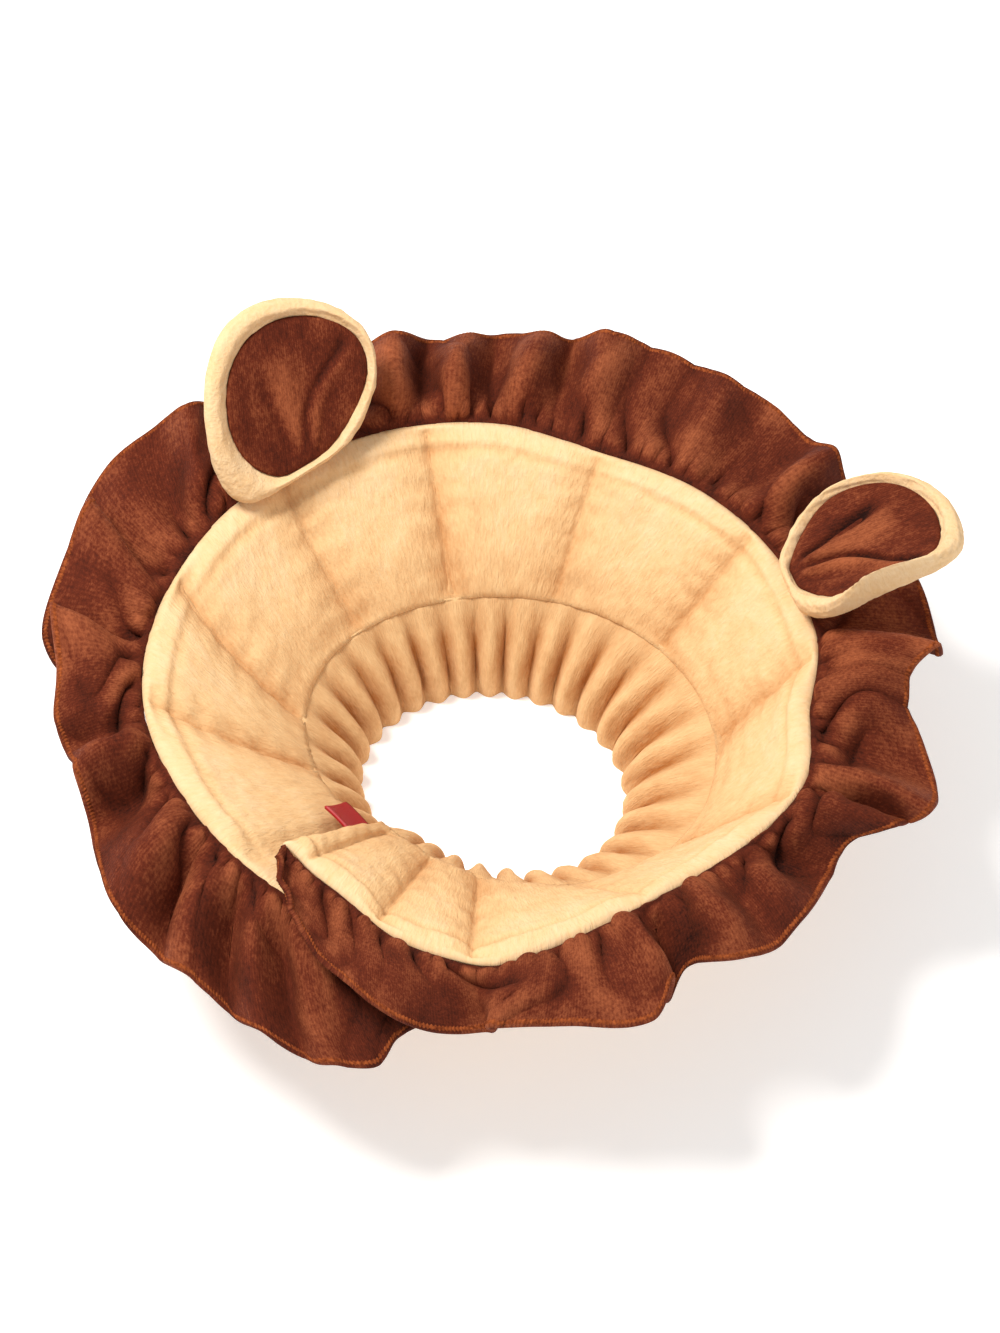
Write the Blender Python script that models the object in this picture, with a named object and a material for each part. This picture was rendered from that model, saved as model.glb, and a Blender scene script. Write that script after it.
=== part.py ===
"""A soft padded recovery collar for a small dog, dressed as a lion: a quilted plush cone, a velour ruffle
round its rim, a gathered neck cuff and two round ears. It stands on its cuff with the cone open upwards.

Lengths are metres and angles are degrees. Angles run anticlockwise seen from above, with 90 between the ears.
The cone, cuff and ruffle are one band that is wrapped round and overlaps itself at the front (270), where it
closes. A place along the band is its angle from BAND_START on, so it passes 360 and goes on under the first end.
"""

import math

import bmesh
import bpy
import numpy as np
from mathutils import Matrix, Vector
from mathutils.bvhtree import BVHTree

# Cone
RIM_HALF_WIDTH = 0.104
RIM_HALF_DEPTH = 0.097
CONE_HEIGHT = 0.032
PAD_THICKNESS = 0.0095
SEAM_THICKNESS = 0.0045

# Seam between cone and cuff, and the opening for the neck
NECK_SEAM_HALF_WIDTH = 0.068
NECK_SEAM_HALF_DEPTH = 0.054
NECK_HALF_WIDTH = 0.045
NECK_HALF_DEPTH = 0.039
SEAM_SHIFT = 0.010
HEM_SHIFT = 0.005
SHIFT_DIRECTION = 20.0
CUFF_HEIGHT = 0.034
CUFF_THICKNESS = 0.0022
CUFF_PLEATS = 30
PLEAT_DEPTH = 0.0026

# Ruffle
RUFFLE_WIDTH = 0.044
FOLD_HEIGHT = 0.011
RUFFLE_THICKNESS = 0.002

# Closure
BAND_START = 245.0
BAND_OVERLAP = 48.0
TAPE_WIDTH = 0.026
TAPE_THICKNESS = 0.0012
LABEL_WIDTH = 0.011
LABEL_LENGTH = 0.011
LABEL_THICKNESS = 0.0012

# Ears
EAR_WIDTH = 0.063
EAR_HEIGHT = 0.058
EAR_THICKNESS = 0.009
LINING_THICKNESS = 0.0016
LINING_SIDE_MARGIN = 0.0085
LINING_BASE_MARGIN = 0.004
PINCH = 0.5

# Clearance between sewn pieces
GAP = 0.0003

BAND_END = BAND_START + 360.0 + BAND_OVERLAP
LAYER_SPACING = SEAM_THICKNESS + TAPE_THICKNESS + 2 * GAP

# Quilting seams of the cone. sink: how far the pad is drawn down to the seam, from 0 to 1.
# lean: how far round the seam's neck end lies from its rim end.
SEAMS = [
    # at, sink, lean
    (BAND_START, 0.6, 0),
    (251, 0.7, 0),
    (270, 0.9, 0),
    (288, 0.9, 0),
    (322, 0.5, -6),
    (356, 0.8, -12),
    (385, 1.0, -6),
    (413, 0.9, -2),
    (447, 0.8, 0),
    (481, 1.0, 0),
    (510, 0.8, 4),
    (538, 1.0, 14),
    (563, 1.0, 8),
    (602, 1.0, 0),
    (628, 0.7, 0),
    (BAND_END, 0.6, 0),
]

# Where the rim stands out of its oval or in from it. out: share of the rim's half width.
RIM_SHAPE = [
    # at, out
    (BAND_START, -0.125),
    (253, -0.105),
    (262, -0.08),
    (275, -0.01),
    (284, 0.018),
    (292, 0.032),
    (302, -0.01),
    (314, -0.05),
    (327, -0.063),
    (342, -0.034),
    (360, 0.016),
    (374, -0.014),
    (390, 0.03),
    (425, 0.015),
    (448, -0.025),
    (470, 0.005),
    (535, -0.01),
    (563, -0.006),
    (585, -0.042),
    (612, -0.056),
    (628, -0.035),
    (640, 0.01),
    (BAND_END, 0.045),
]

# Folds of the ruffle, a row for each crest, valley or flat face. at: place along the band where the fold leaves
# the rim. swing: degrees from there to its place at the hem. reach: share of the ruffle's width that the hem
# stands out from the rim. lift: share of the fold height that the hem stands above the rim. arch: how much of
# the spare cloth bulges up (1) or sags (-1) between rim and hem.
FOLDS = [
    # at, swing, reach, lift, arch
    (BAND_START, 2, 0.12, 0.5, -0.10),
    (250, 3, 0.28, 0.7, -0.20),
    (256, 3, 0.42, 0.7, -0.25),
    (264, 4, 0.56, 0.6, -0.10),
    (273, 3, 0.58, 0.3, 0.45),
    (281, 2, 0.54, -0.1, 0.35),
    (288, 3, 0.42, -0.5, -0.10),
    (293, -2, 0.50, 0.4, 0.15),
    (298, -4, 0.54, 0.4, 0.40),
    (306, -4, 0.64, 0.3, 0.35),
    (313, -1, 0.84, 0.6, 0.50),
    (317, 0, 0.64, 0.7, 0.60),
    (321, -4, 0.62, -0.7, -0.40),
    (325, -3, 0.46, -0.6, 0.40),
    (330, -3, 0.72, 0.6, 0.80),
    (335, -3, 0.74, 0.3, 0.20),
    (340, -2, 0.66, 0.1, 0.40),
    (345, 3, 0.52, -0.8, -0.30),
    (351, 2, 0.46, -0.5, 0.40),
    (356, 0, 0.68, 0.3, 0.50),
    (359.5, 0, 0.74, -0.4, -0.30),
    (363, -3, 0.88, 0.4, 0.40),
    (367, -1, 0.88, -0.6, -0.30),
    (371, 2, 0.72, -0.4, 0.30),
    (376, 1, 0.64, 0.2, 0.50),
    (382, -2, 0.64, 0.8, 0.40),
    (387, -5, 0.78, 1.1, 0.30),
    (389.5, -6, 0.82, 0.1, -0.20),
    (392, -4, 0.84, -0.6, -0.20),
    (397, 0, 0.86, -0.8, 0.20),
    (404, 2, 0.86, -1.1, -0.20),
    (411, 3, 0.86, -0.9, -0.20),
    (416.5, 0, 0.84, 0.8, 0.50),
    (420, 2, 0.90, -0.3, -0.20),
    (427, 3, 0.98, -0.5, 0.10),
    (433, 3, 0.96, 0.1, 0.40),
    (439, 2, 1.02, -0.2, 0.10),
    (446, 2, 1.02, 0.0, 0.20),
    (453, 0, 0.92, 0.7, 0.60),
    (457.5, 0, 0.96, -0.5, -0.30),
    (464, -2, 0.78, 0.4, 0.80),
    (470, -2, 0.88, -0.5, -0.30),
    (476, -3, 0.70, 0.4, 1.00),
    (481.5, -4, 0.86, -0.6, -0.30),
    (486.5, -4, 0.70, 0.8, 0.60),
    (492, -5, 0.88, -0.7, -0.20),
    (500, -7, 0.92, -1.0, 0.10),
    (509, -8, 0.93, -0.8, 0.10),
    (517, -10, 0.88, -0.7, 0.20),
    (523.5, -11, 0.80, 0.6, 0.50),
    (528, -12, 0.94, -0.4, -0.10),
    (532.5, -9, 0.96, -0.4, 0.20),
    (537.5, -6, 0.93, -0.8, -0.30),
    (541, -8, 0.78, 0.8, 0.20),
    (545, -2, 0.74, 0.3, 0.30),
    (548.5, 2, 0.76, -0.5, 0.10),
    (551, 3, 0.60, -1.0, -0.40),
    (553.5, -4, 0.68, 0.9, 0.10),
    (557, 1, 0.56, 0.5, 0.40),
    (563, 2, 0.60, 0.0, 0.30),
    (567.5, 1, 0.56, -0.7, 0.10),
    (571.5, 2, 0.56, 0.3, 0.60),
    (577, 3, 0.58, -0.8, -0.50),
    (583, 4, 0.70, -0.4, 0.10),
    (589, 7, 0.82, 0.0, 0.80),
    (593.5, 9, 0.78, -0.9, -0.30),
    (598, 10, 0.80, -0.2, 0.60),
    (603, 12, 0.80, -1.0, -0.40),
    (608, 13, 0.88, -0.3, 0.60),
    (613, 14, 0.88, -0.9, -0.30),
    (618, 13, 0.88, -0.6, 0.30),
    (624, 12, 0.78, -0.7, 0.10),
    (631, 7, 0.50, -0.6, 0.10),
    (641, 2, 0.28, -0.4, 0.10),
    (BAND_END, 0, 0.22, -0.3, 0.10),
]

# Ears. at: place on the rim. direction: where the ear points, seen from above. rise: degrees up from the rim's
# plane. roll: degrees turned about its own length. cup: how far a side comes forward, share of the ear's width.
# base: width of the sewn edge, share of the ear's width. skew: how much longer the left side is than the right.
# out: how far the foot stands outside the rim, share of the ear's width. inset: how far the lining lies to the left
# of the middle, share of the lining's margin.
EARS = [
    # name, at, direction, rise, roll, cup_left, cup_right, base, skew, out, inset
    ("ear_left", 148.0, 118.0, 43.0, 14.0, 0.06, 0.08, 0.80, 0.42, 0.13, -0.40),
    ("ear_right", 37.0, 34.0, 20.0, -12.0, 0.08, 0.24, 0.50, 0.10, 0.20, 0.50),
]

CONE_COLUMNS_PER_PAD = 7
RUFFLE_COLUMN_STEP = 2.15
CUFF_COLUMNS_PER_PLEAT = 4
CONE_SHARES = (-0.045, 0.0, 0.14, 0.42, 0.70, 0.92, 1.0)
RUFFLE_SHARES = (0.0, 0.22, 0.48, 0.75, 1.0)
CUFF_SHARES = (0.0, 0.30, 0.65, 1.0)


def clear_scene():
    for obj in list(bpy.data.objects):
        bpy.data.objects.remove(obj)


def make_material(name, colour, roughness, metallic=0.0):
    material = bpy.data.materials.new(name)
    material.use_nodes = True
    shader = material.node_tree.nodes["Principled BSDF"]
    shader.inputs["Base Color"].default_value = (*colour, 1.0)
    shader.inputs["Roughness"].default_value = roughness
    shader.inputs["Metallic"].default_value = metallic
    return material


def smooth_step(value):
    value = min(1.0, max(0.0, value))
    return value * value * (3 - 2 * value)


def table_value(rows, column, at):
    """A column of a table at a place along the band, on a smooth curve through its rows."""
    places = [row[0] for row in rows]
    at = min(places[-1], max(places[0], at))
    i = max(0, min(len(rows) - 2, int(np.searchsorted(places, at, side="right")) - 1))
    span = places[i + 1] - places[i]

    def slope(k):
        if k == 0 or k == len(rows) - 1:
            return 0.0
        return (rows[k + 1][column] - rows[k - 1][column]) / (places[k + 1] - places[k - 1])

    x = (at - places[i]) / span
    return (
        rows[i][column] * (1 + 2 * x) * (1 - x) ** 2
        + slope(i) * span * x * (1 - x) ** 2
        + rows[i + 1][column] * x * x * (3 - 2 * x)
        + slope(i + 1) * span * x * x * (x - 1)
    )


def oval_radius(angle, half_width, half_depth):
    turn = math.radians(angle)
    return 1.0 / math.hypot(math.cos(turn) / half_width, math.sin(turn) / half_depth)


def from_axis(angle, radius, height):
    turn = math.radians(angle)
    return Vector((radius * math.cos(turn), radius * math.sin(turn), height))


def layer_offset(at):
    """How far the band lies inside its middle line: the first end inside the second where they overlap."""
    first = smooth_step((at - BAND_START - BAND_OVERLAP) / (360.0 - BAND_OVERLAP))
    return LAYER_SPACING * (0.5 - first)


def rim_place(at):
    """Radius and height of the middle of the cone's rim."""
    radius = oval_radius(at, RIM_HALF_WIDTH, RIM_HALF_DEPTH)
    return radius + table_value(RIM_SHAPE, 1, at) * RIM_HALF_WIDTH, CUFF_HEIGHT + CONE_HEIGHT


def neck_shift(at, size):
    """The neck's ovals lie a little off the rim's middle."""
    return size * math.cos(math.radians(at - SHIFT_DIRECTION))


def neck_seam_place(at):
    return oval_radius(at, NECK_SEAM_HALF_WIDTH, NECK_SEAM_HALF_DEPTH) + neck_shift(at, SEAM_SHIFT), CUFF_HEIGHT


def cone_directions(at):
    """Down the cone's slope, and out of its inner face, both as (radial, height), and the slope's length."""
    rim, neck = np.array(rim_place(at)), np.array(neck_seam_place(at))
    length = float(np.linalg.norm(neck - rim))
    down = (neck - rim) / length
    return down, np.array((down[1], -down[0])), length


def cone_point(at, share, offset):
    """A point at a share of the way from rim to neck seam and an offset out of the cone's inner face."""
    down, out, length = cone_directions(at)
    place = np.array(rim_place(at)) + down * share * length + out * (offset + layer_offset(at))
    return from_axis(at, place[0], place[1])


def pad_fullness(at):
    """From 0 at a fully sunk seam to 1 in the middle of a pad."""
    places = [row[0] for row in SEAMS]
    i = max(0, min(len(SEAMS) - 2, int(np.searchsorted(places, at, side="right")) - 1))
    x = (at - places[i]) / (places[i + 1] - places[i])
    sink = SEAMS[i][1] if x < 0.5 else SEAMS[i + 1][1]
    return 1.0 - sink * abs(2 * x - 1) ** 4


def cone_half_thickness(at, share, inner):
    """Half the wall's thickness on its inner or outer side. Facing sides of the overlap stay flat."""
    past_start, before_end = at - BAND_START, BAND_END - at
    flat = past_start if not inner else before_end
    open_share = smooth_step((flat - BAND_OVERLAP) / 12.0)
    edge = min(1.0, max(0.0, share + 0.045) / 0.10) ** 0.5
    neck = min(1.0, max(0.0, 1.0 - share) / 0.30) ** 0.5
    crown = pad_fullness(at) * (0.35 + 0.65 * min(edge, neck))
    full = SEAM_THICKNESS + (PAD_THICKNESS - SEAM_THICKNESS) * crown * open_share
    return full / 2 * (0.35 + 0.65 * min(edge, 0.4 + 0.6 * neck))


def sheet_loop(points, normals, thickness):
    """The closed outline of a thin sheet: its front points, then its back points the other way."""
    front = [p + n * thickness / 2 for p, n in zip(points, normals)]
    back = [p - n * thickness / 2 for p, n in zip(points, normals)]
    return front + back[::-1]


def grid_normals(grid):
    """A unit normal for each point of a grid of points, rows along the band."""
    places = np.array([[tuple(p) for p in row] for row in grid])
    along = np.gradient(places, axis=0)
    across = np.gradient(places, axis=1)
    normals = np.cross(across, along)
    normals /= np.linalg.norm(normals, axis=2, keepdims=True)
    return [[Vector(n) for n in row] for row in normals]


def cap_sheet(bm, ring):
    half = len(ring) // 2
    for i in range(half - 1):
        bm.faces.new((ring[i], ring[i + 1], ring[-2 - i], ring[-1 - i]))


def cap_round(bm, ring):
    middle = bm.verts.new(sum((v.co for v in ring), Vector()) / len(ring))
    for i, vert in enumerate(ring):
        bm.faces.new((vert, ring[(i + 1) % len(ring)], middle))


def loft(name, loops, material, cap):
    """One closed body through closed loops that have equally many points."""
    bm = bmesh.new()
    rings = [[bm.verts.new(p) for p in loop] for loop in loops]
    for ring, following in zip(rings, rings[1:]):
        for i in range(len(ring)):
            j = (i + 1) % len(ring)
            bm.faces.new((ring[i], ring[j], following[j], following[i]))
    cap(bm, rings[0])
    cap(bm, rings[-1])
    bmesh.ops.recalc_face_normals(bm, faces=bm.faces)
    mesh = bpy.data.meshes.new(name)
    bm.to_mesh(mesh)
    bm.free()
    mesh.shade_smooth()
    obj = bpy.data.objects.new(name, mesh)
    obj.data.materials.append(material)
    bpy.context.scene.collection.objects.link(obj)
    return obj


def band_places(step):
    count = max(2, round((BAND_END - BAND_START) / step))
    return [BAND_START + (BAND_END - BAND_START) * i / count for i in range(count + 1)]


def build_cone(material):
    """The quilted wall, thick in its pads and thin at its seams."""
    places = []
    for first, second in zip(SEAMS, SEAMS[1:]):
        for i in range(CONE_COLUMNS_PER_PAD):
            places.append(first[0] + (second[0] - first[0]) * i / CONE_COLUMNS_PER_PAD)
    places.append(BAND_END)
    loops = []
    for at in places:
        lean = table_value(SEAMS, 2, at)
        inner = [cone_point(at + lean * s, s, cone_half_thickness(at, s, True)) for s in CONE_SHARES]
        outer = [cone_point(at + lean * s, s, -cone_half_thickness(at, s, False)) for s in CONE_SHARES]
        loops.append(inner + outer[::-1])
    return loft("cone_wall", loops, material, cap_sheet)


def cuff_point(at, share):
    """A point on the gathered cuff, which curves from the cone's slope to stand upright at its hem."""
    down, out, length = cone_directions(at)
    edge = np.array(neck_seam_place(at)) + down * (GAP + CUFF_THICKNESS / 4)
    start = edge + out * layer_offset(at)
    hem_radius = oval_radius(at, NECK_HALF_WIDTH, NECK_HALF_DEPTH) + neck_shift(at, HEM_SHIFT) - layer_offset(at)
    corner = np.array((hem_radius, start[1] * 0.5))
    hem = np.array((hem_radius, 0.0))
    place = start * (1 - share) ** 2 + corner * 2 * share * (1 - share) + hem * share**2
    wave = math.cos(math.radians(at * CUFF_PLEATS))
    depth = PLEAT_DEPTH * (0.15 + 0.85 * math.sin(math.pi * min(1.0, share * 0.9)))
    return from_axis(at, place[0] - wave * depth, place[1])


def build_cuff(material):
    grid = [
        [cuff_point(at, share) for share in CUFF_SHARES]
        for at in band_places(360.0 / CUFF_PLEATS / CUFF_COLUMNS_PER_PLEAT)
    ]
    normals = grid_normals(grid)
    for row in normals:
        row[-1] = Vector((row[-1].x, row[-1].y, 0.0)).normalized()
    loops = [sheet_loop(row, normal_row, CUFF_THICKNESS) for row, normal_row in zip(grid, normals)]
    return loft("neck_cuff", loops, material, cap_sheet)


def ruffle_root(at):
    """Where the ruffle leaves the rim, just clear of it, as (radius, height)."""
    down, out, length = cone_directions(at)
    tip = np.array(rim_place(at)) + down * CONE_SHARES[0] * length
    clear = GAP + RUFFLE_THICKNESS / 2
    return tip - down * clear + out * (layer_offset(at) - RUFFLE_THICKNESS / 2)


def ruffle_point(at, share):
    """A point on the ruffle, a share of the way from the rim to the hem."""
    swing, reach, lift, arch = (table_value(FOLDS, column, at) for column in (1, 2, 3, 4))
    root = ruffle_root(at)
    chord = np.array((reach * RUFFLE_WIDTH, lift * FOLD_HEIGHT))
    length = float(np.linalg.norm(chord))
    spare = max(0.0, RUFFLE_WIDTH - length)
    bulge = arch * math.sqrt(0.375 * length * spare) * math.sin(math.pi * share)
    across = np.array((-chord[1], chord[0])) / length
    place = root + chord * share + across * bulge
    return from_axis(at + swing * share**1.2, place[0], place[1])


def build_ruffle(material):
    grid = [[ruffle_point(at, share) for share in RUFFLE_SHARES] for at in band_places(RUFFLE_COLUMN_STEP)]
    loops = [
        sheet_loop(row, normals, RUFFLE_THICKNESS) for row, normals in zip(grid, grid_normals(grid))
    ]
    return loft("ruffle", loops, material, cap_sheet)


def build_tape(material):
    """The fastening strip between the two overlapping ends."""
    middle = BAND_START + BAND_OVERLAP / 2
    half_span = math.degrees(TAPE_WIDTH / 2 / neck_seam_place(middle)[0])
    loops = []
    for i in range(7):
        at = middle + half_span * (i / 3 - 1)
        face = SEAM_THICKNESS / 2 + GAP
        loop = [cone_point(at, share, -face) for share in (0.2, 0.4, 0.6, 0.8)]
        back = [cone_point(at, share, -face - TAPE_THICKNESS) for share in (0.2, 0.4, 0.6, 0.8)]
        loops.append(loop + back[::-1])
    return loft("fastening_tape", loops, material, cap_sheet)


def build_label(material):
    """The plain folded tab sewn to the upper layer's end, near the neck."""
    share, rows = 0.76, 4
    rim = cone_point(BAND_START, share, 0.0)
    onward = (cone_point(BAND_START - 1.0, share, 0.0) - cone_point(BAND_START, share, 0.0)).normalized()
    down, out, length = cone_directions(BAND_START)
    side = LABEL_WIDTH / 2 / length
    loops = []
    for i in range(rows):
        ahead = onward * (GAP + LABEL_LENGTH * i / (rows - 1))
        rise = 0.0012 * math.sin(math.pi * i / (rows - 1) / 2)
        near = cone_point(BAND_START, share - side, rise) + ahead
        far = cone_point(BAND_START, share + side, rise) + ahead
        through = (cone_point(BAND_START, share, 1.0) - rim).normalized() * LABEL_THICKNESS / 2
        loops.append([near + through, far + through, far - through, near - through])
    return loft("side_label", loops, material, cap_sheet)


def ear_outline(margin_side, margin_base, base_share, points=26):
    """Points round the ear's flat shape, as (across, up), inset by a margin at its sides and at its base."""
    half, height = EAR_WIDTH / 2, EAR_HEIGHT
    widest = 0.5 * height
    outline = []
    for i in range(points):
        turn = 2 * math.pi * (i + 0.5) / points - math.pi / 2
        across, up = math.cos(turn), math.sin(turn)
        if up >= 0:
            place = (across * (half - margin_side), widest + up * (height - widest - margin_side))
        else:
            squared = abs(up) ** 0.7
            narrow = 1 - (1 - base_share) * squared**2
            wide = abs(across) ** 0.4 * math.copysign(1, across)
            place = (wide * narrow * (half - margin_side), widest - squared * (widest - margin_base))
        outline.append(place)
    return outline


def bend_ear(across, up, out, cup_left, cup_right, skew):
    """Brings the ear's sides forward, more at the top than at the sewn base, and slants the base."""
    half = EAR_WIDTH / 2
    cup = cup_left if across > 0 else cup_right
    x = min(1.3, abs(across) / half)
    forward = cup * EAR_WIDTH * x * x * (0.45 + 0.55 * min(1.0, up / (0.4 * EAR_HEIGHT)))
    pull = 1.0 - 1.2 * cup * x * x
    slant = skew * across * (1 - up / EAR_HEIGHT)
    return Vector((across * pull, forward + out, up - slant))


def ear_placing(at, direction, rise, out):
    """The ear's own frame at its place on the rim: y out of its front face, z up the ear."""
    turn, up_turn = math.radians(direction), math.radians(rise)
    outward = Vector((math.cos(turn), math.sin(turn), 0.0))
    up = outward * math.cos(up_turn) + Vector((0, 0, 1)) * math.sin(up_turn)
    front = Vector((0, 0, 1)) * math.cos(up_turn) - outward * math.sin(up_turn)
    frame = Matrix((front.cross(up), front, up)).transposed().to_4x4()
    foot = ruffle_root(at)
    place = from_axis(at, foot[0] + out * EAR_WIDTH, foot[1] + 1.5 * EAR_THICKNESS)
    return Matrix.Translation(place) @ frame


def surface_tree(objects):
    """The surfaces of some pieces together, to measure against."""
    points, faces = [], []
    for obj in objects:
        first = len(points)
        points += [obj.matrix_world @ vert.co for vert in obj.data.vertices]
        faces += [[first + i for i in face.vertices] for face in obj.data.polygons]
    return BVHTree.FromPolygons(points, faces)


def lower_onto(pieces, carriers):
    """Lowers pieces until the first of them lies a gap above what carries it."""
    carrier = surface_tree(carriers)
    step = Matrix.Translation((0, 0, -GAP))
    for _ in range(200):
        if surface_tree(pieces[:1]).overlap(carrier):
            break
        for piece in pieces:
            piece.matrix_world = step @ piece.matrix_world
    for piece in pieces:
        piece.matrix_world = Matrix.Translation((0, 0, 2 * GAP)) @ piece.matrix_world


# Rings of an ear's shell, from the middle of its dished front over the rolled edge to the back. margin: how far
# inside the outline, share of the lining's margin. shrink: further towards the middle. height: share of half the
# ear's thickness.
EAR_RINGS = [
    # margin, shrink, height
    (1.10, 0.92, 0.08),
    (1.10, 0.50, 0.08),
    (1.10, 0.0, 0.08),
    (0.82, 0.0, 0.06),
    (0.68, 0.0, 0.55),
    (0.40, 0.0, 1.0),
    (0.10, 0.0, 0.75),
    (0.0, 0.0, 0.05),
    (0.10, 0.0, -0.65),
    (0.50, 0.0, -1.0),
    (1.10, 0.50, -1.0),
    (1.10, 0.92, -1.0),
]


def ear_ring(margin, shrink, out, cups, base_share, skew, inset):
    """A ring of points of an ear at one margin from its outline, at a distance out of its middle plane."""
    centre = 0.5 * EAR_HEIGHT
    inner = min(1.0, margin)
    aside = inset * inner * LINING_SIDE_MARGIN
    pinched = base_share * (1 - PINCH * inner)
    ring = []
    outline = ear_outline(margin * LINING_SIDE_MARGIN, margin * LINING_BASE_MARGIN, pinched)
    for across, up in outline:
        place = (across * (1 - shrink) + aside, centre + (up - centre) * (1 - shrink))
        ring.append(bend_ear(*place, out, *cups, skew))
    return ring


def build_ear(row, plush, velour):
    """A plump round ear with a rolled edge, and the velour lining that lies in its dished front."""
    name, at, direction, rise, roll, cup_left, cup_right, base_share, skew, out, inset = row
    half = EAR_THICKNESS / 2
    shape = ((cup_left, cup_right), base_share, skew, inset)
    loops = [ear_ring(margin, shrink, height * half, *shape) for margin, shrink, height in EAR_RINGS]
    shell = loft(name, loops, plush, cap_round)
    back = EAR_RINGS[0][2] * half + 2.5 * GAP
    front = back + LINING_THICKNESS
    faces = [
        # margin, shrink, height
        (1.1, 0.92, front),
        (1.1, 0.5, front),
        (1.1, 0.0, front),
        (1.02, 0.0, (front + back) / 2),
        (1.1, 0.0, back),
        (1.1, 0.5, back),
        (1.1, 0.92, back),
    ]
    lining = loft(name + "_lining", [ear_ring(*face, *shape) for face in faces], velour, cap_round)
    placing = ear_placing(at, direction, rise, out) @ Matrix.Rotation(math.radians(roll), 4, "Z")
    shell.matrix_world = placing
    lining.matrix_world = placing
    return [shell, lining]


def centre_on_base(objects):
    """Moves the whole collar so that the middle of its box's base is the origin."""
    bpy.context.view_layer.update()
    corners = np.array([tuple(o.matrix_world @ v.co) for o in objects for v in o.data.vertices])
    middle = (corners.min(axis=0) + corners.max(axis=0)) / 2
    shift = Matrix.Translation((-middle[0], -middle[1], -corners[:, 2].min()))
    for obj in objects:
        obj.matrix_world = shift @ obj.matrix_world


def main():
    clear_scene()
    cream = make_material("cream_plush", (0.84, 0.60, 0.33), 0.9)
    brown = make_material("brown_velour", (0.17, 0.045, 0.018), 0.85)
    red = make_material("red_label", (0.45, 0.01, 0.02), 0.6)
    tape = make_material("tape", (0.70, 0.52, 0.32), 0.9)
    objects = [
        build_cone(cream),
        build_cuff(cream),
        build_ruffle(brown),
        build_tape(tape),
        build_label(red),
    ]
    carriers = [objects[0], objects[2]]
    for row in EARS:
        ear = build_ear(row, cream, brown)
        lower_onto(ear, carriers)
        objects += ear
    centre_on_base(objects)


main()
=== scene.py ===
"""The looks of a lion-style padded recovery collar: plush cone, gathered velour ruffle, cuff, ears and tab.

The named sizes and tables are those of the collar's solids, in metres and degrees. Each soft piece is built
again here on the same lines with its folds, gathers, seams, hem stitches and pile.
"""

import math

import bpy
import numpy as np
from mathutils import Matrix, Vector


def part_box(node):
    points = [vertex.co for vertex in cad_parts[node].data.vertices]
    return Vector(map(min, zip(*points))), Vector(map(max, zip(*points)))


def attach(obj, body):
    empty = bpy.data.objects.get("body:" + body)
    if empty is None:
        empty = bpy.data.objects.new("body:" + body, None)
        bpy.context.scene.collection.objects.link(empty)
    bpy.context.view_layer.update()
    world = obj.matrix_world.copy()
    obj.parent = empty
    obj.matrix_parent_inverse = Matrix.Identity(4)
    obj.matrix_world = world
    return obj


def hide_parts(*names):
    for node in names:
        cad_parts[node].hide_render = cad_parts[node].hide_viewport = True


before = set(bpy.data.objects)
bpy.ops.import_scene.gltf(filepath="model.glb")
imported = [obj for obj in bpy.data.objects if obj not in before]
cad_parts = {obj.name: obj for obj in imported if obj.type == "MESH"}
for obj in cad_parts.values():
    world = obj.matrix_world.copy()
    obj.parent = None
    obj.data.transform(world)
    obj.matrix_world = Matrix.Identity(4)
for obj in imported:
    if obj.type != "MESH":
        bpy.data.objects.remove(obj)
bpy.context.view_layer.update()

RIM_HALF_WIDTH = 0.104
RIM_HALF_DEPTH = 0.097
CONE_HEIGHT = 0.032
PAD_THICKNESS = 0.0095
SEAM_THICKNESS = 0.0045
NECK_SEAM_HALF_WIDTH = 0.068
NECK_SEAM_HALF_DEPTH = 0.054
NECK_HALF_WIDTH = 0.045
NECK_HALF_DEPTH = 0.039
SEAM_SHIFT = 0.010
HEM_SHIFT = 0.005
SHIFT_DIRECTION = 20.0
CUFF_HEIGHT = 0.034
CUFF_THICKNESS = 0.0022
CUFF_PLEATS = 30
PLEAT_DEPTH = 0.0026
RUFFLE_WIDTH = 0.044
FOLD_HEIGHT = 0.011
RUFFLE_THICKNESS = 0.002
BAND_START = 245.0
BAND_OVERLAP = 48.0
TAPE_THICKNESS = 0.0012
LABEL_WIDTH = 0.011
LABEL_LENGTH = 0.011
LABEL_THICKNESS = 0.0012
EAR_WIDTH = 0.063
EAR_HEIGHT = 0.058
EAR_THICKNESS = 0.009
LINING_THICKNESS = 0.0016
LINING_SIDE_MARGIN = 0.0085
LINING_BASE_MARGIN = 0.004
PINCH = 0.5
GAP = 0.0003
BAND_END = BAND_START + 360.0 + BAND_OVERLAP
LAYER_SPACING = SEAM_THICKNESS + TAPE_THICKNESS + 2 * GAP
NOSE_SHARE = 0.045

SEAMS = [
    # at, sink, lean
    (BAND_START, 0.6, 0),
    (251, 0.7, 0),
    (270, 0.9, 0),
    (288, 0.9, 0),
    (322, 0.5, -6),
    (356, 0.8, -12),
    (385, 1.0, -6),
    (413, 0.9, -2),
    (447, 0.8, 0),
    (481, 1.0, 0),
    (510, 0.8, 4),
    (538, 1.0, 14),
    (563, 1.0, 8),
    (602, 1.0, 0),
    (628, 0.7, 0),
    (BAND_END, 0.6, 0),
]

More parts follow.
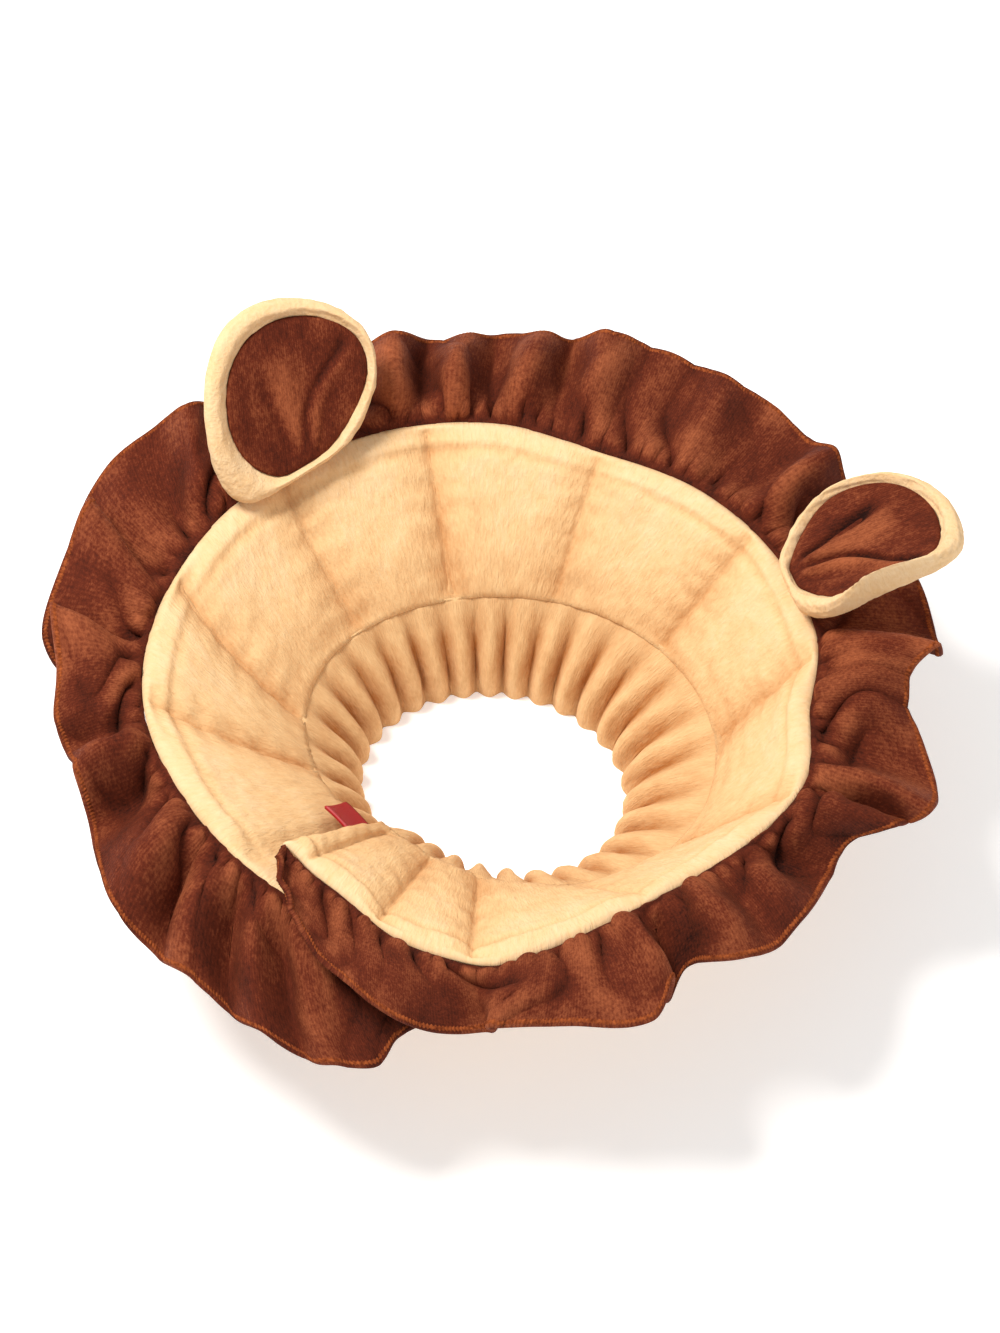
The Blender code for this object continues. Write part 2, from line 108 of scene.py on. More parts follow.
RIM_SHAPE = [
    # at, out
    (BAND_START, -0.125),
    (253, -0.105),
    (262, -0.08),
    (275, -0.01),
    (284, 0.018),
    (292, 0.032),
    (302, -0.01),
    (314, -0.05),
    (327, -0.063),
    (342, -0.034),
    (360, 0.016),
    (374, -0.014),
    (390, 0.03),
    (425, 0.015),
    (448, -0.025),
    (470, 0.005),
    (535, -0.01),
    (563, -0.006),
    (585, -0.042),
    (612, -0.056),
    (628, -0.035),
    (640, 0.01),
    (BAND_END, 0.045),
]

FOLDS = [
    # at, swing, reach, lift, arch
    (BAND_START, 2, 0.12, 0.5, -0.10),
    (250, 3, 0.28, 0.7, -0.20),
    (256, 3, 0.42, 0.7, -0.25),
    (264, 4, 0.56, 0.6, -0.10),
    (273, 3, 0.58, 0.3, 0.45),
    (281, 2, 0.54, -0.1, 0.35),
    (288, 3, 0.42, -0.5, -0.10),
    (293, -2, 0.50, 0.4, 0.15),
    (298, -4, 0.54, 0.4, 0.40),
    (306, -4, 0.64, 0.3, 0.35),
    (313, -1, 0.84, 0.6, 0.50),
    (317, 0, 0.64, 0.7, 0.60),
    (321, -4, 0.62, -0.7, -0.40),
    (325, -3, 0.46, -0.6, 0.40),
    (330, -3, 0.72, 0.6, 0.80),
    (335, -3, 0.74, 0.3, 0.20),
    (340, -2, 0.66, 0.1, 0.40),
    (345, 3, 0.52, -0.8, -0.30),
    (351, 2, 0.46, -0.5, 0.40),
    (356, 0, 0.68, 0.3, 0.50),
    (359.5, 0, 0.74, -0.4, -0.30),
    (363, -3, 0.88, 0.4, 0.40),
    (367, -1, 0.88, -0.6, -0.30),
    (371, 2, 0.72, -0.4, 0.30),
    (376, 1, 0.64, 0.2, 0.50),
    (382, -2, 0.64, 0.8, 0.40),
    (387, -5, 0.78, 1.1, 0.30),
    (389.5, -6, 0.82, 0.1, -0.20),
    (392, -4, 0.84, -0.6, -0.20),
    (397, 0, 0.86, -0.8, 0.20),
    (404, 2, 0.86, -1.1, -0.20),
    (411, 3, 0.86, -0.9, -0.20),
    (416.5, 0, 0.84, 0.8, 0.50),
    (420, 2, 0.90, -0.3, -0.20),
    (427, 3, 0.98, -0.5, 0.10),
    (433, 3, 0.96, 0.1, 0.40),
    (439, 2, 1.02, -0.2, 0.10),
    (446, 2, 1.02, 0.0, 0.20),
    (453, 0, 0.92, 0.7, 0.60),
    (457.5, 0, 0.96, -0.5, -0.30),
    (464, -2, 0.78, 0.4, 0.80),
    (470, -2, 0.88, -0.5, -0.30),
    (476, -3, 0.70, 0.4, 1.00),
    (481.5, -4, 0.86, -0.6, -0.30),
    (486.5, -4, 0.70, 0.8, 0.60),
    (492, -5, 0.88, -0.7, -0.20),
    (500, -7, 0.92, -1.0, 0.10),
    (509, -8, 0.93, -0.8, 0.10),
    (517, -10, 0.88, -0.7, 0.20),
    (523.5, -11, 0.80, 0.6, 0.50),
    (528, -12, 0.94, -0.4, -0.10),
    (532.5, -9, 0.96, -0.4, 0.20),
    (537.5, -6, 0.93, -0.8, -0.30),
    (541, -8, 0.78, 0.8, 0.20),
    (545, -2, 0.74, 0.3, 0.30),
    (548.5, 2, 0.76, -0.5, 0.10),
    (551, 3, 0.60, -1.0, -0.40),
    (553.5, -4, 0.68, 0.9, 0.10),
    (557, 1, 0.56, 0.5, 0.40),
    (563, 2, 0.60, 0.0, 0.30),
    (567.5, 1, 0.56, -0.7, 0.10),
    (571.5, 2, 0.56, 0.3, 0.60),
    (577, 3, 0.58, -0.8, -0.50),
    (583, 4, 0.70, -0.4, 0.10),
    (589, 7, 0.82, 0.0, 0.80),
    (593.5, 9, 0.78, -0.9, -0.30),
    (598, 10, 0.80, -0.2, 0.60),
    (603, 12, 0.80, -1.0, -0.40),
    (608, 13, 0.88, -0.3, 0.60),
    (613, 14, 0.88, -0.9, -0.30),
    (618, 13, 0.88, -0.6, 0.30),
    (624, 12, 0.78, -0.7, 0.10),
    (631, 7, 0.50, -0.6, 0.10),
    (641, 2, 0.28, -0.4, 0.10),
    (BAND_END, 0, 0.22, -0.3, 0.10),
]

EARS = [
    # name, at, direction, rise, roll, cup_left, cup_right, base, skew, out, inset
    ("ear_left", 148.0, 118.0, 43.0, 14.0, 0.06, 0.08, 0.80, 0.42, 0.13, -0.40),
    ("ear_right", 37.0, 34.0, 20.0, -12.0, 0.08, 0.24, 0.50, 0.10, 0.20, 0.50),
]

EAR_RINGS = [
    # margin, shrink, height
    (1.10, 0.92, 0.08),
    (1.10, 0.50, 0.08),
    (1.10, 0.0, 0.08),
    (0.82, 0.0, 0.06),
    (0.68, 0.0, 0.55),
    (0.40, 0.0, 1.0),
    (0.10, 0.0, 0.75),
    (0.0, 0.0, 0.05),
    (0.10, 0.0, -0.65),
    (0.50, 0.0, -1.0),
    (1.10, 0.50, -1.0),
    (1.10, 0.92, -1.0),
]


def smooth_step(value):
    value = np.clip(value, 0.0, 1.0)
    return value * value * (3 - 2 * value)


def lattice(ix, iy, seed):
    """A repeatable number from 0 to 1 for each point of a square lattice."""
    mixed = (ix * 374761393 + iy * 668265263 + seed * 362437) & 0x7FFFFFFF
    mixed = ((mixed ^ (mixed >> 13)) * 1274126177) & 0x7FFFFFFF
    return ((mixed ^ (mixed >> 16)) & 0xFFFF) / 65535.0


def noise(x, y, seed=0):
    """Smooth noise from -1 to 1, one bump to a unit."""
    x, y = np.broadcast_arrays(np.asarray(x, float), np.asarray(y, float))
    ix, iy = np.floor(x).astype(np.int64), np.floor(y).astype(np.int64)
    fx, fy = x - ix, y - iy
    sx, sy = fx * fx * (3 - 2 * fx), fy * fy * (3 - 2 * fy)
    low = lattice(ix, iy, seed) * (1 - sx) + lattice(ix + 1, iy, seed) * sx
    high = lattice(ix, iy + 1, seed) * (1 - sx) + lattice(ix + 1, iy + 1, seed) * sx
    return (low * (1 - sy) + high * sy) * 2 - 1


def table_value(rows, column, at):
    places = np.array([row[0] for row in rows], float)
    values = np.array([row[column] for row in rows], float)
    slopes = np.zeros(len(rows))
    slopes[1:-1] = (values[2:] - values[:-2]) / (places[2:] - places[:-2])
    at = np.clip(at, places[0], places[-1])
    i = np.clip(np.searchsorted(places, at, side="right") - 1, 0, len(rows) - 2)
    span = places[i + 1] - places[i]
    x = (at - places[i]) / span
    first = values[i] * (1 + 2 * x) * (1 - x) ** 2 + slopes[i] * span * x * (1 - x) ** 2
    return first + values[i + 1] * x * x * (3 - 2 * x) + slopes[i + 1] * span * x * x * (x - 1)


def oval_radius(angle, half_width, half_depth):
    turn = np.radians(angle)
    return 1.0 / np.hypot(np.cos(turn) / half_width, np.sin(turn) / half_depth)


def from_axis(angle, radius, height):
    turn = np.radians(angle)
    return np.stack(np.broadcast_arrays(radius * np.cos(turn), radius * np.sin(turn), height), -1)


def layer_offset(at):
    first = smooth_step((at - BAND_START - BAND_OVERLAP) / (360.0 - BAND_OVERLAP))
    return LAYER_SPACING * (0.5 - first)


def rim_place(at):
    radius = oval_radius(at, RIM_HALF_WIDTH, RIM_HALF_DEPTH)
    radius = radius + table_value(RIM_SHAPE, 1, at) * RIM_HALF_WIDTH
    return np.stack((radius, np.full_like(radius, CUFF_HEIGHT + CONE_HEIGHT)), -1)


def neck_shift(at, size):
    return size * np.cos(np.radians(at - SHIFT_DIRECTION))


def neck_seam_place(at):
    radius = oval_radius(at, NECK_SEAM_HALF_WIDTH, NECK_SEAM_HALF_DEPTH) + neck_shift(at, SEAM_SHIFT)
    return np.stack((radius, np.full_like(radius, CUFF_HEIGHT)), -1)


def cone_directions(at):
    rim, neck = rim_place(at), neck_seam_place(at)
    length = np.linalg.norm(neck - rim, axis=-1)
    down = (neck - rim) / length[..., None]
    return down, np.stack((down[..., 1], -down[..., 0]), -1), length


def cone_point(at, share, offset):
    at, share, offset = np.broadcast_arrays(np.asarray(at, float), share, offset)
    down, out, length = cone_directions(at)
    place = rim_place(at) + down * (share * length)[..., None]
    place = place + out * (offset + layer_offset(at))[..., None]
    return from_axis(at, place[..., 0], place[..., 1])


def seam_distance(at):
    """For each place: how far through its pad it is, the nearer seam's sink, and the degrees to that seam."""
    places = np.array([row[0] for row in SEAMS], float)
    sinks = np.array([row[1] for row in SEAMS], float)
    i = np.clip(np.searchsorted(places, at, side="right") - 1, 0, len(SEAMS) - 2)
    x = (at - places[i]) / (places[i + 1] - places[i])
    near = np.where(x < 0.5, i, i + 1)
    return x, sinks[near], np.abs(at - places[near]), near


def cone_half_thickness(at, share, inner):
    x, sink, away, near = seam_distance(at)
    fullness = 1.0 - sink * np.abs(2 * x - 1) ** 4
    flat = (BAND_END - at) if inner else (at - BAND_START)
    open_share = smooth_step((flat - BAND_OVERLAP) / 12.0)
    edge = np.minimum(1.0, np.maximum(0.0, share + NOSE_SHARE) / 0.10) ** 0.5
    neck = np.minimum(1.0, np.maximum(0.0, 1.0 - share) / 0.30) ** 0.5
    crown = fullness * (0.35 + 0.65 * np.minimum(edge, neck))
    full = SEAM_THICKNESS + (PAD_THICKNESS - SEAM_THICKNESS) * crown * open_share
    return full / 2 * (0.35 + 0.65 * np.minimum(edge, 0.4 + 0.6 * neck))


def cuff_point(at, share):
    at, share = np.broadcast_arrays(np.asarray(at, float), share)
    down, out, length = cone_directions(at)
    edge = neck_seam_place(at) + down * (GAP + CUFF_THICKNESS / 4)
    start = edge + out * layer_offset(at)[..., None]
    hem_radius = oval_radius(at, NECK_HALF_WIDTH, NECK_HALF_DEPTH) + neck_shift(at, HEM_SHIFT) - layer_offset(at)
    corner = np.stack((hem_radius, start[..., 1] * 0.5), -1)
    hem = np.stack((hem_radius, np.zeros_like(hem_radius)), -1)
    s = share[..., None]
    place = start * (1 - s) ** 2 + corner * 2 * s * (1 - s) + hem * s**2
    wave = np.cos(np.radians(at * CUFF_PLEATS))
    depth = PLEAT_DEPTH * (0.15 + 0.85 * np.sin(np.pi * np.minimum(1.0, share * 0.9)))
    return from_axis(at, place[..., 0] - wave * depth, place[..., 1])


def ruffle_root(at):
    down, out, length = cone_directions(at)
    tip = rim_place(at) - down * (NOSE_SHARE * length)[..., None]
    clear = GAP + RUFFLE_THICKNESS / 2
    return tip - down * clear + out * (layer_offset(at) - RUFFLE_THICKNESS / 2)[..., None]


def ruffle_point(at, share):
    at, share = np.broadcast_arrays(np.asarray(at, float), share)
    swing, reach, lift, arch = (table_value(FOLDS, column, at) for column in (1, 2, 3, 4))
    root = ruffle_root(at)
    chord = np.stack((reach * RUFFLE_WIDTH, lift * FOLD_HEIGHT), -1)
    length = np.linalg.norm(chord, axis=-1)
    spare = np.maximum(0.0, RUFFLE_WIDTH - length)
    bulge = arch * np.sqrt(0.375 * length * spare) * np.sin(np.pi * share)
    across = np.stack((-chord[..., 1], chord[..., 0]), -1) / length[..., None]
    place = root + chord * share[..., None] + across * bulge[..., None]
    return from_axis(at + swing * np.maximum(share, 0) ** 1.2, place[..., 0], place[..., 1])


def ear_outline(margin_side, margin_base, base_share, points):
    half, height = EAR_WIDTH / 2, EAR_HEIGHT
    widest = 0.5 * height
    turn = 2 * np.pi * (np.arange(points) + 0.5) / points - np.pi / 2
    across, up = np.cos(turn), np.sin(turn)
    top = np.stack((across * (half - margin_side), widest + up * (height - widest - margin_side)), -1)
    squared = np.abs(up) ** 0.7
    narrow = 1 - (1 - base_share) * squared**2
    wide = np.abs(across) ** 0.4 * np.sign(across)
    base = np.stack((wide * narrow * (half - margin_side), widest - squared * (widest - margin_base)), -1)
    return np.where((up >= 0)[:, None], top, base)


def bend_ear(flat, out, cup_left, cup_right, skew):
    across, up = flat[..., 0], flat[..., 1]
    cup = np.where(across > 0, cup_left, cup_right)
    x = np.minimum(1.3, np.abs(across) / (EAR_WIDTH / 2))
    forward = cup * EAR_WIDTH * x * x * (0.45 + 0.55 * np.minimum(1.0, up / (0.4 * EAR_HEIGHT)))
    pull = 1.0 - 1.2 * cup * x * x
    slant = skew * across * (1 - up / EAR_HEIGHT)
    return np.stack((across * pull, forward + out, up - slant), -1)


def ear_placing(at, direction, rise, roll):
    turn, up_turn = math.radians(direction), math.radians(rise)
    outward = Vector((math.cos(turn), math.sin(turn), 0.0))
    up = outward * math.cos(up_turn) + Vector((0, 0, 1)) * math.sin(up_turn)
    front = Vector((0, 0, 1)) * math.cos(up_turn) - outward * math.sin(up_turn)
    turned = Matrix((front.cross(up), front, up)).transposed().to_4x4()
    return np.array(turned @ Matrix.Rotation(math.radians(roll), 4, "Z"))[:3, :3]


def grid_normals(grid):
    along = np.gradient(grid, axis=0)
    across = np.gradient(grid, axis=1)
    normals = np.cross(across, along)
    return normals / np.maximum(np.linalg.norm(normals, axis=2, keepdims=True), 1e-12)


def join_loops(loops, ends):
    """Faces through closed loops of points, and over the two ends where they are asked for."""
    count, around = loops.shape[:2]
    index = np.arange(count * around).reshape(count, around)
    a, b = index[:-1], index[1:]
    quads = np.stack((a, np.roll(a, -1, 1), np.roll(b, -1, 1), b), -1).reshape(-1, 4)
    faces = [quads]
    if ends:
        half = around // 2
        i = np.arange(half - 1)
        for ring, order in ((index[0], 1), (index[-1], -1)):
            cap = np.stack((ring[i + 1], ring[i], ring[around - 1 - i], ring[around - 2 - i]), -1)
            faces.append(cap[:, ::order])
    return np.concatenate(faces)


def make_mesh(name, points, faces, cloth=None, painted_shading=None):
    """A smooth mesh. cloth holds each point's place on its cloth in millimetres; the last argument is painted shading,
    darker in the creases and hollows where shade falls.
    """
    points = np.asarray(points, float).reshape(-1, 3)
    mesh = bpy.data.meshes.new(name)
    mesh.from_pydata(points.tolist(), [], np.asarray(faces).tolist())
    if cloth is not None:
        data = mesh.attributes.new("cloth", "FLOAT_VECTOR", "POINT")
        data.data.foreach_set("vector", np.asarray(cloth, np.float32).reshape(-1))
    if painted_shading is not None:
        data = mesh.attributes.new("painted_shading", "FLOAT", "POINT")
        data.data.foreach_set("value", np.asarray(painted_shading, np.float32).reshape(-1))
    mesh.shade_smooth()
    mesh.validate()
    obj = bpy.data.objects.new(name, mesh)
    bpy.context.scene.collection.objects.link(obj)
    return obj


def outward(obj):
    """Turns a closed mesh's faces outwards."""
    count = len(obj.data.polygons)
    if not count:
        return obj
    verts = np.empty(len(obj.data.vertices) * 3)
    obj.data.vertices.foreach_get("co", verts)
    verts = verts.reshape(-1, 3)
    obj.data.calc_loop_triangles()
    tris = np.empty(len(obj.data.loop_triangles) * 3, np.int32)
    obj.data.loop_triangles.foreach_get("vertices", tris)
    p = verts[tris.reshape(-1, 3)]
    if np.einsum("ij,ij->", p[:, 0], np.cross(p[:, 1], p[:, 2])) < 0:
        obj.data.flip_normals()
    return obj


# Placing: the formulas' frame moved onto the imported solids
cad_at = np.array([BAND_START + (BAND_END - BAND_START) * i / 400 for i in range(401)])
cad_tip = cone_point(cad_at[:, None], np.array([-NOSE_SHARE, 0.0, 0.14])[None, :], 0.0)
hem_low = np.array(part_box("neck_cuff")[0])
cuff_dense = cuff_point(cad_at[:, None], np.linspace(0, 1, 9)[None, :])
cuff_middle = (cuff_dense.reshape(-1, 3).min(0) + cuff_dense.reshape(-1, 3).max(0)) / 2
cuff_box = [np.array(corner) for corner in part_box("neck_cuff")]
SHIFT = (cuff_box[0] + cuff_box[1]) / 2 - cuff_middle
SHIFT[2] = 0.0


def placed(points):
    return points + SHIFT


# Materials


def new_material(name):
    material = bpy.data.materials.new(name)
    material.use_nodes = True
    nodes = material.node_tree.nodes
    shader = nodes["Principled BSDF"]
    return material, nodes, material.node_tree.links, shader


def add_node(nodes, kind, **settings):
    node = nodes.new(kind)
    for key, value in settings.items():
        setattr(node, key, value)
    return node


def linear(red, green, blue):
    return tuple((c / 255 / 12.92) if c / 255 <= 0.04045 else ((c / 255 + 0.055) / 1.055) ** 2.4 for c in (red, green, blue))


def scaled_place(nodes, links, attribute, scale):
    """The cloth's own coordinates, scaled, for a texture."""
    source = add_node(nodes, "ShaderNodeAttribute", attribute_name=attribute)
    mapping = add_node(nodes, "ShaderNodeMapping")
    mapping.inputs["Scale"].default_value = scale
    links.new(source.outputs["Vector"], mapping.inputs["Vector"])
    return mapping.outputs["Vector"]


def plush_material(name, deep, body, light, pile_scale):
    """Short dense pile: clumps, combed patches and a soft sheen."""
    material, nodes, links, shader = new_material(name)
    place = scaled_place(nodes, links, "cloth", (1.0, 1.0, 1.0))
    clumps = add_node(nodes, "ShaderNodeTexNoise")
    clumps.inputs["Scale"].default_value = 0.11
    clumps.inputs["Detail"].default_value = 5.0
    clumps.inputs["Roughness"].default_value = 0.55
    links.new(place, clumps.inputs["Vector"])
    combed = add_node(nodes, "ShaderNodeTexNoise")
    combed.inputs["Scale"].default_value = pile_scale
    combed.inputs["Detail"].default_value = 4.0
    combed.inputs["Roughness"].default_value = 0.65
    links.new(scaled_place(nodes, links, "cloth", (1.0, 0.35, 1.0)), combed.inputs["Vector"])
    calm = add_node(nodes, "ShaderNodeMath", operation="MULTIPLY_ADD")
    links.new(clumps.outputs["Fac"], calm.inputs[0])
    calm.inputs[1].default_value = 0.35
    calm.inputs[2].default_value = 0.36
    both = add_node(nodes, "ShaderNodeMath", operation="MULTIPLY_ADD")
    links.new(combed.outputs["Fac"], both.inputs[0])
    both.inputs[1].default_value = 0.35
    links.new(calm.outputs[0], both.inputs[2])
    # Painted shade: the per-point shading value lowers the ramp in creases and hollows, towards the deep colour, which
    # the pile noise alone does not reach.
    painted_shading = add_node(nodes, "ShaderNodeAttribute", attribute_name="painted_shading")
    lowered = add_node(nodes, "ShaderNodeMath", operation="MULTIPLY_ADD")
    links.new(painted_shading.outputs["Fac"], lowered.inputs[0])
    lowered.inputs[1].default_value = -0.42
    links.new(both.outputs[0], lowered.inputs[2])
    ramp = add_node(nodes, "ShaderNodeValToRGB")
    ramp.color_ramp.elements[0].position = 0.20
    ramp.color_ramp.elements[0].color = (*deep, 1)
    ramp.color_ramp.elements[1].position = 1.0
    ramp.color_ramp.elements[1].color = (*light, 1)
    middle = ramp.color_ramp.elements.new(0.62)
    middle.color = (*body, 1)
    links.new(lowered.outputs[0], ramp.inputs["Fac"])
    links.new(ramp.outputs["Color"], shader.inputs["Base Color"])
    shader.inputs["Roughness"].default_value = 0.92
    shader.inputs["Specular IOR Level"].default_value = 0.15
    shader.inputs["Sheen Weight"].default_value = 0.12
    shader.inputs["Sheen Roughness"].default_value = 0.5
    shader.inputs["Sheen Tint"].default_value = (*light, 1)
    bump = add_node(nodes, "ShaderNodeBump")
    bump.inputs["Strength"].default_value = 0.8
    bump.inputs["Distance"].default_value = 0.0008
    links.new(combed.outputs["Fac"], bump.inputs["Height"])
    links.new(bump.outputs["Normal"], shader.inputs["Normal"])
    return material


def velour_material(name, deep, body, light):
    """Brushed knit: dark pile, lighter where it is combed, with fine rows along the cloth."""
    material, nodes, links, shader = new_material(name)
    place = scaled_place(nodes, links, "cloth", (1.0, 1.0, 1.0))
    patches = add_node(nodes, "ShaderNodeTexNoise")
    patches.inputs["Scale"].default_value = 0.09
    patches.inputs["Detail"].default_value = 3.0
    patches.inputs["Roughness"].default_value = 0.5
    links.new(scaled_place(nodes, links, "cloth", (1.0, 0.45, 1.0)), patches.inputs["Vector"])
    rows = add_node(nodes, "ShaderNodeTexWave", wave_type="BANDS", bands_direction="X")
    rows.inputs["Scale"].default_value = 0.42
    rows.inputs["Distortion"].default_value = 0.8
    rows.inputs["Detail"].default_value = 2.0
    rows.inputs["Detail Scale"].default_value = 1.2
    links.new(place, rows.inputs["Vector"])
    pile = add_node(nodes, "ShaderNodeTexNoise")
    pile.inputs["Scale"].default_value = 1.1
    pile.inputs["Detail"].default_value = 5.0
    pile.inputs["Roughness"].default_value = 0.85
    links.new(scaled_place(nodes, links, "cloth", (1.0, 0.5, 1.0)), pile.inputs["Vector"])
    fine = add_node(nodes, "ShaderNodeMath", operation="MULTIPLY_ADD")
    links.new(rows.outputs["Fac"], fine.inputs[0])
    fine.inputs[1].default_value = 0.06
    links.new(pile.outputs["Fac"], fine.inputs[2])
    both = add_node(nodes, "ShaderNodeMath", operation="MULTIPLY_ADD")
    links.new(fine.outputs[0], both.inputs[0])
    both.inputs[1].default_value = 1.25
    links.new(patches.outputs["Fac"], both.inputs[2])
    ramp = add_node(nodes, "ShaderNodeValToRGB")
    ramp.color_ramp.elements[0].position = 0.0
    ramp.color_ramp.elements[0].color = (*deep, 1)
    ramp.color_ramp.elements[1].position = 1.0
    ramp.color_ramp.elements[1].color = (*light, 1)
    middle = ramp.color_ramp.elements.new(0.5)
    middle.color = (*body, 1)
    # Painted shade: the per-point shading value moves the ramp towards the deep colour in creases and hollows, and
    # towards the light colour (painted highlight) where it is negative.
    painted_shading = add_node(nodes, "ShaderNodeAttribute", attribute_name="painted_shading")
    lowered = add_node(nodes, "ShaderNodeMath", operation="MULTIPLY_ADD")
    links.new(painted_shading.outputs["Fac"], lowered.inputs[0])
    lowered.inputs[1].default_value = -0.30
    links.new(both.outputs[0], lowered.inputs[2])
    spread = add_node(nodes, "ShaderNodeMapRange")
    spread.inputs["From Min"].default_value = 0.70
    spread.inputs["From Max"].default_value = 1.62
    links.new(lowered.outputs[0], spread.inputs["Value"])
    links.new(spread.outputs["Result"], ramp.inputs["Fac"])
    links.new(ramp.outputs["Color"], shader.inputs["Base Color"])
    shader.inputs["Roughness"].default_value = 0.85
    shader.inputs["Specular IOR Level"].default_value = 0.15
    shader.inputs["Sheen Weight"].default_value = 0.16
    shader.inputs["Sheen Roughness"].default_value = 0.4
    shader.inputs["Sheen Tint"].default_value = (*light, 1)
    bump = add_node(nodes, "ShaderNodeBump")
    bump.inputs["Strength"].default_value = 0.8
    bump.inputs["Distance"].default_value = 0.0006
    links.new(fine.outputs[0], bump.inputs["Height"])
    links.new(bump.outputs["Normal"], shader.inputs["Normal"])
    return material


def thread_material(name, colour, dark):
    """Thin plied thread, with a little change of colour from stitch to stitch."""
    material, nodes, links, shader = new_material(name)
    spots = add_node(nodes, "ShaderNodeTexNoise")
    spots.inputs["Scale"].default_value = 0.9
    links.new(scaled_place(nodes, links, "cloth", (1.0, 1.0, 1.0)), spots.inputs["Vector"])
    ramp = add_node(nodes, "ShaderNodeValToRGB")
    ramp.color_ramp.elements[0].position = 0.3
    ramp.color_ramp.elements[0].color = (*dark, 1)
    ramp.color_ramp.elements[1].position = 0.7
    ramp.color_ramp.elements[1].color = (*colour, 1)
    links.new(spots.outputs["Fac"], ramp.inputs["Fac"])
    links.new(ramp.outputs["Color"], shader.inputs["Base Color"])
    shader.inputs["Roughness"].default_value = 0.9
    shader.inputs["Specular IOR Level"].default_value = 0.08
    return material


def woven_material(name, colour, dark):
    """A plain satin-woven tape: fine ribs across it."""
    material, nodes, links, shader = new_material(name)
    ribs = add_node(nodes, "ShaderNodeTexWave", wave_type="BANDS", bands_direction="X")
    ribs.inputs["Scale"].default_value = 0.9
    ribs.inputs["Distortion"].default_value = 0.3
    links.new(scaled_place(nodes, links, "cloth", (1.0, 1.0, 1.0)), ribs.inputs["Vector"])
    ramp = add_node(nodes, "ShaderNodeValToRGB")
    ramp.color_ramp.elements[0].color = (*dark, 1)
    ramp.color_ramp.elements[1].color = (*colour, 1)
    links.new(ribs.outputs["Fac"], ramp.inputs["Fac"])
    links.new(ramp.outputs["Color"], shader.inputs["Base Color"])
    shader.inputs["Roughness"].default_value = 0.5
    bump = add_node(nodes, "ShaderNodeBump")
    bump.inputs["Strength"].default_value = 0.4
    bump.inputs["Distance"].default_value = 0.0002
    links.new(ribs.outputs["Fac"], bump.inputs["Height"])
    links.new(bump.outputs["Normal"], shader.inputs["Normal"])
    return material


# The deep colours are the pile in shade: painted shading takes creases and hollows to them; the velour's random pile
# also reaches partly towards its deep colour.
CREAM = plush_material("cream_plush", linear(180, 112, 54), linear(231, 190, 138), linear(244, 218, 180), 0.9)
BROWN = velour_material("brown_velour", linear(34, 9, 4), linear(98, 38, 19), linear(164, 90, 55))
THREAD = thread_material("hem_thread", linear(158, 82, 42), linear(92, 38, 18))
RED = woven_material("red_label", linear(176, 18, 30), linear(120, 6, 14))
TAPE = woven_material("tape", linear(226, 196, 150), linear(190, 158, 112))


def finish_piece(obj, material, node=None):
    obj.data.materials.append(material)
    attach(obj, "root")
    if node:
        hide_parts(node)
    return obj


# Cone


def band_arc(at):
    """Distance along the rim in millimetres, for the cloth's own coordinates."""
    return np.radians(at - BAND_START) * 100.0


def cone_detail(at, share, inner):
    """Fine relief of the cone's faces: stitched grooves, puckers beside them and soft unevenness. It also gives
    painted shading: painted shade in the grooves, pucker hollows and the band near the rim, deepening towards the neck
    inside the cone.
    """
    x, sink, away, near = seam_distance(at)
    radius = 65 + 38 * (1 - share)
    apart = np.radians(away) * radius
    run = share * 50
    groove = -0.9 * sink * np.exp(-((apart / 1.2) ** 2)) - 1.2 * sink * np.exp(-((apart / 8.0) ** 2))
    wave = np.sin(run * 2 * np.pi / 8.5 + near * 2.1 + 1.4 * noise(run / 9, near * 3.7, 5))
    puckers = 0.6 * sink * wave * np.exp(-apart / 7) * (1 - np.exp(-apart / 1.2))
    band = -0.8 * np.exp(-(((share - 0.11 - 0.02 * noise(at / 9, 0.3, 8)) / 0.03) ** 2))
    uneven = 0.7 * noise(at / 11, share * 3.2, 11) + 0.3 * noise(at / 4.2, share * 8, 12)
    tufts = 0.26 * noise(band_arc(at) / 1.9, run / 1.9, 13)
    edge_fade = smooth_step((share + NOSE_SHARE) / 0.06) * smooth_step((1.0 - share) / 0.05)
    flat = (BAND_END - at) if inner else (at - BAND_START)
    open_share = smooth_step((flat - BAND_OVERLAP) / 8.0)
    if not inner:
        band = band * 0
    total = (groove + puckers + band + uneven * 0.8) * edge_fade * open_share + tufts * open_share
    # Painted shade: darker in the seam grooves, in the hollows of the puckers and in the band groove.
    painted_shading = np.clip(-groove * 0.26 + 0.25 * np.clip(-puckers, 0, 1) - band * 0.25, 0, 1) * edge_fade
    # Painted shade: on the inside it deepens towards the neck, where less light reaches; on the outside it is an even
    # painted shade.
    painted_neck_shade = 0.34 * np.clip(share, 0, 1) ** 1.2 if inner else 0.1
    return total / 1000, painted_shading * open_share + painted_neck_shade


